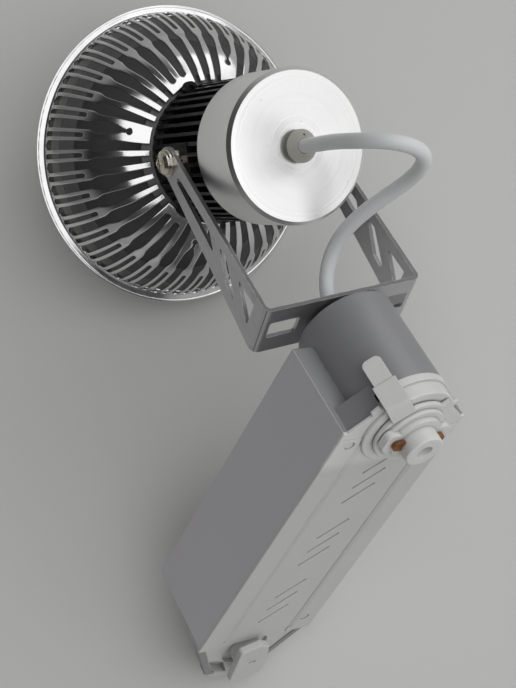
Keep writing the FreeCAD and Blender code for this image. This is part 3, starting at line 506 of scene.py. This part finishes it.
# ---------------------------------------------------------------- reflector shell
# The bell is forty forks. A long slot parts one fork from the next, and a short one
# parts a fork's two prongs. Lengths are in millimetres: distances run along the bell's
# outside from its neck, and the outline's points are (radius, along) from the tilt axis.
# Angles and half widths are in degrees about the head axis, except those named _MM.
FORKS = 40
PITCH = 360.0 / FORKS
FIRST_STEM = 7.5
SHELL_THICKNESS = 0.9
EDGE_ROUNDING = 0.12
SHARP_EDGE = math.radians(50)
NECK = (28.2, -24.0)
DOME = (40.5, -30.2)
WAIST = (49.8, -40.0)
SKIRT = (55.2, -50.0)
MOUTH = (58.3, -59.6)
ARC_POINTS = 60
RIM_RADIUS = 60.0
RIM_FRONT = -60.9
RIM_BACK = -59.6
LIP = (
    (RIM_RADIUS - 0.5, RIM_BACK),
    (RIM_RADIUS, RIM_BACK - 0.45),
    (RIM_RADIUS, RIM_FRONT + SHELL_THICKNESS),
)


def arc_points(first, middle, last, count):
    """Points of the circular arc through three points of the plane."""
    first, middle, last = (np.array(point) for point in (first, middle, last))
    chords = np.array((middle - first, last - first))
    middles = (middle @ middle - first @ first, last @ last - first @ first)
    center = np.linalg.solve(chords, np.array(middles) / 2)
    radius = np.linalg.norm(first - center)
    start = math.atan2(*(first - center)[::-1])
    end = math.atan2(*(last - center)[::-1])
    if end - start > math.pi:
        end -= 2 * math.pi
    if start - end > math.pi:
        end += 2 * math.pi
    turns = np.linspace(start, end, count)
    return [center + radius * np.array((math.cos(turn), math.sin(turn))) for turn in turns]


dome_arc = arc_points(NECK, DOME, WAIST, ARC_POINTS)
skirt_arc = arc_points(WAIST, SKIRT, MOUTH, ARC_POINTS)
profile = np.array(dome_arc[:-1] + skirt_arc)
arc_length = np.r_[0, np.cumsum(np.linalg.norm(np.diff(profile, axis=0), axis=1))]
SHELL_LENGTH = arc_length[-1]


def on_profile(distance):
    """(radius, along) of the shell's outside at a distance from the neck."""
    radius = np.interp(distance, arc_length, profile[:, 0])
    along = np.interp(distance, arc_length, profile[:, 1])
    return float(radius), float(along)


def round_end(distance, start, half_mm):
    """Half width in mm of a slot that begins with a round end at start."""
    into = distance - start
    if into <= 0:
        return 0.0
    if into >= half_mm:
        return half_mm
    return math.sqrt(max(0.0, half_mm**2 - (half_mm - into) ** 2))


def smooth(value, low, high):
    """0 below low, 1 above high, and an even bend between."""
    t = min(1.0, max(0.0, (value - low) / (high - low)))
    return t * t * (3 - 2 * t)


STEM_HALF = 1.9
STEM_WAIST_HALF = 1.35
FORK_HALF = 2.5
STEM_TAPER = (12.0, 18.5)
FORK_SHOULDER = (21.0, 25.0)


def stem_half(distance):
    """Half width in degrees of the metal between two long slots."""
    narrowing = (STEM_HALF - STEM_WAIST_HALF) * smooth(distance, *STEM_TAPER)
    shoulder = (FORK_HALF - STEM_WAIST_HALF) * smooth(distance, *FORK_SHOULDER)
    return STEM_HALF - narrowing + shoulder


SLOT_END = SHELL_LENGTH - 1.5
PRONG_START = 27.0
PRONG_HALF = 1.05
KEYHOLE_AT = 8.7
KEYHOLE_RADIUS_MM = 1.25
KEYHOLE_NECK_HALF_MM = 0.5
KEYHOLE_FLARE = (KEYHOLE_AT + 0.6, 15.0)


def long_slot_half(distance, kind):
    """Half width in degrees of the slot between two forks.

    kind is "open", "keyhole" or the distance at which a closed slot begins.
    """
    radius, _ = on_profile(distance)
    degree_mm = math.radians(radius)
    full = PITCH / 2 - stem_half(distance)
    if distance >= SLOT_END:
        return 0.0
    closing = round_end(SLOT_END - distance, 0.0, full * degree_mm) / degree_mm
    if kind == "open":
        return min(full, closing)
    if kind == "keyhole":
        hole = KEYHOLE_RADIUS_MM**2 - (distance - KEYHOLE_AT) ** 2
        hole_half = math.sqrt(hole) / degree_mm if hole > 0 else 0.0
        neck = KEYHOLE_NECK_HALF_MM / degree_mm if distance > KEYHOLE_AT else 0.0
        flare = full * smooth(distance, *KEYHOLE_FLARE)
        return min(full, closing, max(hole_half, neck, flare))
    return min(full, closing, round_end(distance, kind, full * degree_mm) / degree_mm)


def prong_slot_half(distance):
    """Half width in degrees of the short slot inside a fork."""
    radius, _ = on_profile(distance)
    degree_mm = math.radians(radius)
    half_mm = PRONG_HALF * degree_mm
    opening = round_end(distance, PRONG_START, half_mm)
    closing = round_end(SLOT_END - distance, 0.0, half_mm)
    return min(opening, closing) / degree_mm


KEYHOLES = (21.0, 111.0, 201.0, 291.0)
SHELL_SCREWS = (71.5, 191.5, 311.5)
CLOSED_START = 2.5
SCREW_START = 4.5


def degrees_apart(first, second):
    """The smaller angle between two directions."""
    return abs((first - second + 180) % 360 - 180)


def slot_kind(index):
    """How the long slot before fork index begins: keyholes, and closed slots by the screws."""
    center = FIRST_STEM + PITCH * index - PITCH / 2
    for keyhole in KEYHOLES:
        if degrees_apart(center, keyhole) < 1:
            return "keyhole"
    for screw in SHELL_SCREWS:
        gap = degrees_apart(center, screw)
        if gap < PITCH:
            return CLOSED_START + (SCREW_START - CLOSED_START) * (1 - gap / PITCH)
    return "open"


ROW_STEP = 1.0
# (from, to, step): where closed slots begin, the keyholes, where short slots begin, where slots end.
FINE_ROWS = (
    (0, 5.5, 0.35),
    (7.2, 15.2, 0.3),
    (24.0, 29.0, 0.3),
    (SLOT_END - 2.6, SLOT_END + 0.2, 0.2),
)
STRIP_COLUMNS = 3
SAME_PLACE = 1e-6
ON_MOUTH_MM = 0.02


def shell_rows():
    """Distances from the neck: fine where slots begin and end, coarser between."""
    rows = set(np.round(np.arange(0, SHELL_LENGTH, ROW_STEP), 3))
    for low, high, step in FINE_ROWS:
        rows |= set(np.round(np.arange(low, high, step), 3))
    rows |= {round(float(SHELL_LENGTH), 3), round(float(SLOT_END), 3)}
    return sorted(rows)


def strip(mesh, distance, start, end):
    """A row of vertices across one strip of metal, between two angles."""
    radius, along = on_profile(distance)
    angles = np.radians(np.linspace(start, end, STRIP_COLUMNS + 1))
    return [mesh.verts.new(head_point(radius, float(angle), along)) for angle in angles]


def add_fork(mesh, fork, rows):
    """One fork: the strips of metal on either side of its short slot."""
    middle = FIRST_STEM + PITCH * fork
    before = slot_kind(fork)
    after = slot_kind(fork + 1)
    grid = []
    for distance in rows:
        left = middle - PITCH / 2 + long_slot_half(distance, before)
        right = middle + PITCH / 2 - long_slot_half(distance, after)
        prong = prong_slot_half(distance)
        left_strip = strip(mesh, distance, left, middle - prong)
        right_strip = strip(mesh, distance, middle + prong, right)
        grid.append((left_strip, right_strip))
    for lower, upper in zip(grid, grid[1:]):
        join_rows(mesh, lower[0], upper[0], closed=False)
        join_rows(mesh, lower[1], upper[1], closed=False)


def along_head(vertex):
    """A vertex's place along the head axis, in millimetres."""
    return (vertex.co - tilt_point).dot(head_axis) / MM


def around_head(vertex):
    """A vertex's angle about the head axis, from the tilt axis."""
    arm = vertex.co - tilt_point
    return math.atan2(arm.dot(head_side), arm.dot(tilt_axis))


def add_lip(mesh):
    """Carries the bell's mouth outwards and forwards to its rim."""
    edge = [vertex for vertex in mesh.verts if abs(along_head(vertex) - MOUTH[1]) < ON_MOUTH_MM]
    edge.sort(key=around_head)
    angles = [around_head(vertex) for vertex in edge]
    for radius, along in LIP:
        ring = [mesh.verts.new(head_point(radius, angle, along)) for angle in angles]
        join_rows(mesh, edge, ring, closed=True)
        edge = ring


def face_outward(piece):
    """Turns the faces so that their normals point away from the head axis."""
    total = 0.0
    for polygon in piece.data.polygons:
        arm = polygon.center - tilt_point
        arm -= head_axis * arm.dot(head_axis)
        total += polygon.normal.dot(arm)
    if total < 0:
        piece.data.flip_normals()


def give_thickness(piece):
    """Makes the sheet a solid, inwards, and takes the sharpness off its edges."""
    solid = piece.modifiers.new("thickness", "SOLIDIFY")
    solid.thickness = SHELL_THICKNESS * MM
    solid.offset = -1.0
    rounding = piece.modifiers.new("edges", "BEVEL")
    rounding.width = EDGE_ROUNDING * MM
    rounding.segments = 1
    rounding.limit_method = "ANGLE"
    rounding.angle_limit = SHARP_EDGE


def reflector_shell():
    """The slotted bell: forty forks that join at the neck and at the rim."""
    mesh = bmesh.new()
    rows = shell_rows()
    for fork in range(FORKS):
        add_fork(mesh, fork, rows)
    bmesh.ops.remove_doubles(mesh, verts=mesh.verts, dist=SAME_PLACE)
    add_lip(mesh)
    bmesh.ops.recalc_face_normals(mesh, faces=mesh.faces)
    piece = new_piece("slotted_reflector_shell", mesh, materials["polished_aluminium"])
    face_outward(piece)
    give_thickness(piece)
    return piece


shell = reflector_shell()
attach(shell, "head")
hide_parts("reflector_shell")

# ---------------------------------------------------------------- power cable
CABLE_RADIUS = 2.7
CABLE_SIDES = 28
CABLE_STEPS = 10
GLAND_INSIDE = 30.0
GLAND_REACH = 46.5
# (out, across, up) in millimetres: from the head's gland, round the loop, to the pan bolt.
CABLE_STATIONS = (
    (51.8, 0.0, -84.4),
    (64.9, -0.1, -70.5),
    (69.1, -3.5, -65.0),
    (70.3, -8.5, -61.4),
    (68.8, -13.7, -59.6),
    (55.6, -21.6, -62.0),
    (36.7, -15.8, -67.8),
    (20.5, -7.9, -70.5),
    (11.0, -5.0, -69.6),
    (3.6, -2.6, -65.2),
    (0.0, 0.0, -55.6),
    (0.0, 0.0, -46.6),
)


def curve_slopes(points, spans, first_way, last_way):
    """The slopes at the points that make a cubic spline through them bend evenly."""
    count = len(points)
    system = np.zeros((count, count))
    right = np.zeros((count, 3))
    system[0, 0] = 1.0
    system[-1, -1] = 1.0
    right[0] = first_way
    right[-1] = last_way
    for i in range(1, count - 1):
        before = spans[i - 1]
        after = spans[i]
        system[i, i - 1: i + 2] = (after, 2 * (before + after), before)
        slope_before = (points[i] - points[i - 1]) / before
        slope_after = (points[i + 1] - points[i]) / after
        right[i] = 3 * (after * slope_before + before * slope_after)
    return np.linalg.solve(system, right)


def smooth_curve(points, first_way, last_way, steps):
    """A cubic spline through the points with given end directions."""
    points = np.array([tuple(point) for point in points])
    spans = np.linalg.norm(np.diff(points, axis=0), axis=1)
    slopes = curve_slopes(points, spans, first_way, last_way)
    path = []
    for i, span in enumerate(spans):
        for step in range(steps):
            t = step / steps
            start_share = 2 * t**3 - 3 * t**2 + 1
            end_share = 3 * t**2 - 2 * t**3
            start_pull = (t**3 - 2 * t**2 + t) * span
            end_pull = (t**3 - t**2) * span
            ends = start_share * points[i] + end_share * points[i + 1]
            pulls = start_pull * slopes[i] + end_pull * slopes[i + 1]
            path.append(Vector(ends + pulls))
    path.append(Vector(points[-1]))
    return path


def power_cable():
    """The lead's sheath: a tube from inside the gland, round its loop, into the pan bolt."""
    inside_gland = head_point(0, 0, GLAND_INSIDE)
    leaves_gland = head_point(0, 0, GLAND_REACH)
    stations = [inside_gland, (inside_gland + leaves_gland) / 2, leaves_gland]
    stations += [yoke_point(*station) for station in CABLE_STATIONS]
    path = smooth_curve(stations, head_axis, UP, CABLE_STEPS)
    mesh = bmesh.new()
    side = tilt_axis.copy()
    rings = []
    for i, center in enumerate(path):
        ahead = path[min(i + 1, len(path) - 1)] - path[max(i - 1, 0)]
        ahead.normalize()
        side = (side - ahead * side.dot(ahead)).normalized()
        other = ahead.cross(side)
        ring = []
        for k in range(CABLE_SIDES):
            angle = 2 * math.pi * k / CABLE_SIDES
            reach = side * math.cos(angle) + other * math.sin(angle)
            ring.append(mesh.verts.new(center + reach * CABLE_RADIUS * MM))
        rings.append(ring)
    for lower, upper in zip(rings, rings[1:]):
        join_rows(mesh, upper, lower, closed=True)
    mesh.faces.new(rings[0][::-1])
    mesh.faces.new(rings[-1])
    return new_piece("cable_sheath", mesh, materials["cable_sheath"])


cable = power_cable()
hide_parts("power_cable")
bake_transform(cable)

# ---------------------------------------------------------------- stage
# The lamp lies on a table top whose plane passes just under it.
TABLE_NORMAL = Vector((0.731, 0.572, 0.373)).normalized()
TABLE_OFFSET = 0.0782
TABLE_SIZE = 3.0


def pale_paper():
    """Pale matt paper that lets the view through from behind."""
    paper = Shader("pale_paper", (0.71, 0.71, 0.697), 0.8)
    cloud = paper.noise(160.0, 2.0)
    paper.tint(paper.ramp(cloud, 0.35, 0.7, 0.0, 0.3), (0.68, 0.68, 0.67))
    paper.bump(paper.noise(0.8), 0.03, 0.3)
    clear = paper.add("ShaderNodeBsdfTransparent")
    mix = paper.add("ShaderNodeMixShader")
    geometry = paper.add("ShaderNodeNewGeometry")
    paper.link(geometry.outputs["Backfacing"], mix.inputs["Fac"])
    paper.link(paper.surface.outputs["BSDF"], mix.inputs[1])
    paper.link(clear.outputs["BSDF"], mix.inputs[2])
    paper.link(mix.outputs["Shader"], paper.output.inputs["Surface"])
    return paper.material


def table_top():
    """The flat sheet behind and under the lamp."""
    mesh = bmesh.new()
    bmesh.ops.create_grid(mesh, x_segments=8, y_segments=8, size=TABLE_SIZE)
    piece = new_piece("table_top", mesh, pale_paper())
    piece.rotation_mode = "QUATERNION"
    piece.rotation_quaternion = TABLE_NORMAL.to_track_quat("Z", "Y")
    piece.location = -TABLE_NORMAL * TABLE_OFFSET


table_top()

# ---------------------------------------------------------------- camera
EYE = Vector((377.0, 314.7, 203.8)) * MM
LOOK = Vector((-0.643, -0.572, -0.509)).normalized()
LEVEL_WAY = Vector((0.379, -0.815, 0.438))
RIGHT = (LEVEL_WAY - LOOK * LEVEL_WAY.dot(LOOK)).normalized()
TOP = RIGHT.cross(LOOK)
LENS_MM = 75.2
SENSOR_MM = 36.0


def add_camera():
    """The camera at EYE that looks along LOOK, with RIGHT level in the picture."""
    data = bpy.data.cameras.new("camera")
    data.sensor_fit = "AUTO"
    data.sensor_width = SENSOR_MM
    data.lens = LENS_MM
    data.clip_start = 0.01
    data.clip_end = 50.0
    camera = bpy.data.objects.new("camera", data)
    bpy.context.scene.collection.objects.link(camera)
    turn = Matrix((RIGHT, TOP, -LOOK)).transposed()
    camera.matrix_world = Matrix.Translation(EYE) @ turn.to_4x4()
    bpy.context.scene.camera = camera


add_camera()

# ---------------------------------------------------------------- light
OBJECT_MIDDLE = Vector((0.03, 0.0, -0.09))
WORLD_COLOR = (1.0, 1.0, 0.985, 1.0)


def softbox(name, toward, distance, size, power):
    """A rectangular studio light, (width, height) in metres, that faces the object's middle."""
    lamp = bpy.data.lights.new(name, "AREA")
    lamp.shape = "RECTANGLE"
    lamp.size, lamp.size_y = size
    lamp.energy = power
    light = bpy.data.objects.new(name, lamp)
    bpy.context.scene.collection.objects.link(light)
    light.location = OBJECT_MIDDLE + toward * distance
    light.rotation_mode = "QUATERNION"
    light.rotation_quaternion = toward.to_track_quat("Z", "Y")


def round_the_camera(sideways, above):
    """A direction by its angles in degrees from the camera's own: to the right, and up."""
    turn = math.radians(sideways)
    rise = math.radians(above)
    flat = RIGHT * math.sin(turn) - LOOK * math.cos(turn)
    return (flat * math.cos(rise) + TOP * math.sin(rise)).normalized()


softbox("window", round_the_camera(23, 4), distance=2.0, size=(3.0, 2.8), power=33.5)
softbox("overhead", round_the_camera(60, 50), distance=1.6, size=(1.0, 0.8), power=2.5)


def sky_level(tree, way, start, end, bend):
    """Brightness by how far a view direction runs along way.

    start and end are (share of way, brightness), and bend is how it changes between them.
    """
    view = tree.nodes.new("ShaderNodeTexCoord").outputs["Generated"]
    share = tree.nodes.new("ShaderNodeVectorMath")
    share.operation = "DOT_PRODUCT"
    share.inputs[1].default_value = way
    level = tree.nodes.new("ShaderNodeMapRange")
    level.interpolation_type = bend
    level.inputs["From Min"].default_value = start[0]
    level.inputs["From Max"].default_value = end[0]
    level.inputs["To Min"].default_value = start[1]
    level.inputs["To Max"].default_value = end[1]
    tree.links.new(view, share.inputs[0])
    tree.links.new(share.outputs["Value"], level.inputs["Value"])
    return level.outputs["Result"]


def studio_world():
    """A pale sweep beyond the table, dimmer at the left, and a dark room behind the camera."""
    world = bpy.data.worlds.new("studio")
    bpy.context.scene.world = world
    world.use_nodes = True
    tree = world.node_tree
    room = sky_level(tree, -LOOK, start=(0.30, 0.42), end=(0.62, 0.05), bend="SMOOTHSTEP")
    dimmer = sky_level(tree, RIGHT, start=(-0.85, 0.42), end=(0.1, 1.0), bend="LINEAR")
    product = tree.nodes.new("ShaderNodeMath")
    product.operation = "MULTIPLY"
    tree.links.new(room, product.inputs[0])
    tree.links.new(dimmer, product.inputs[1])
    background = tree.nodes["Background"]
    background.inputs["Color"].default_value = WORLD_COLOR
    tree.links.new(product.outputs["Value"], background.inputs["Strength"])


studio_world()
bpy.context.scene.view_settings.view_transform = "Standard"
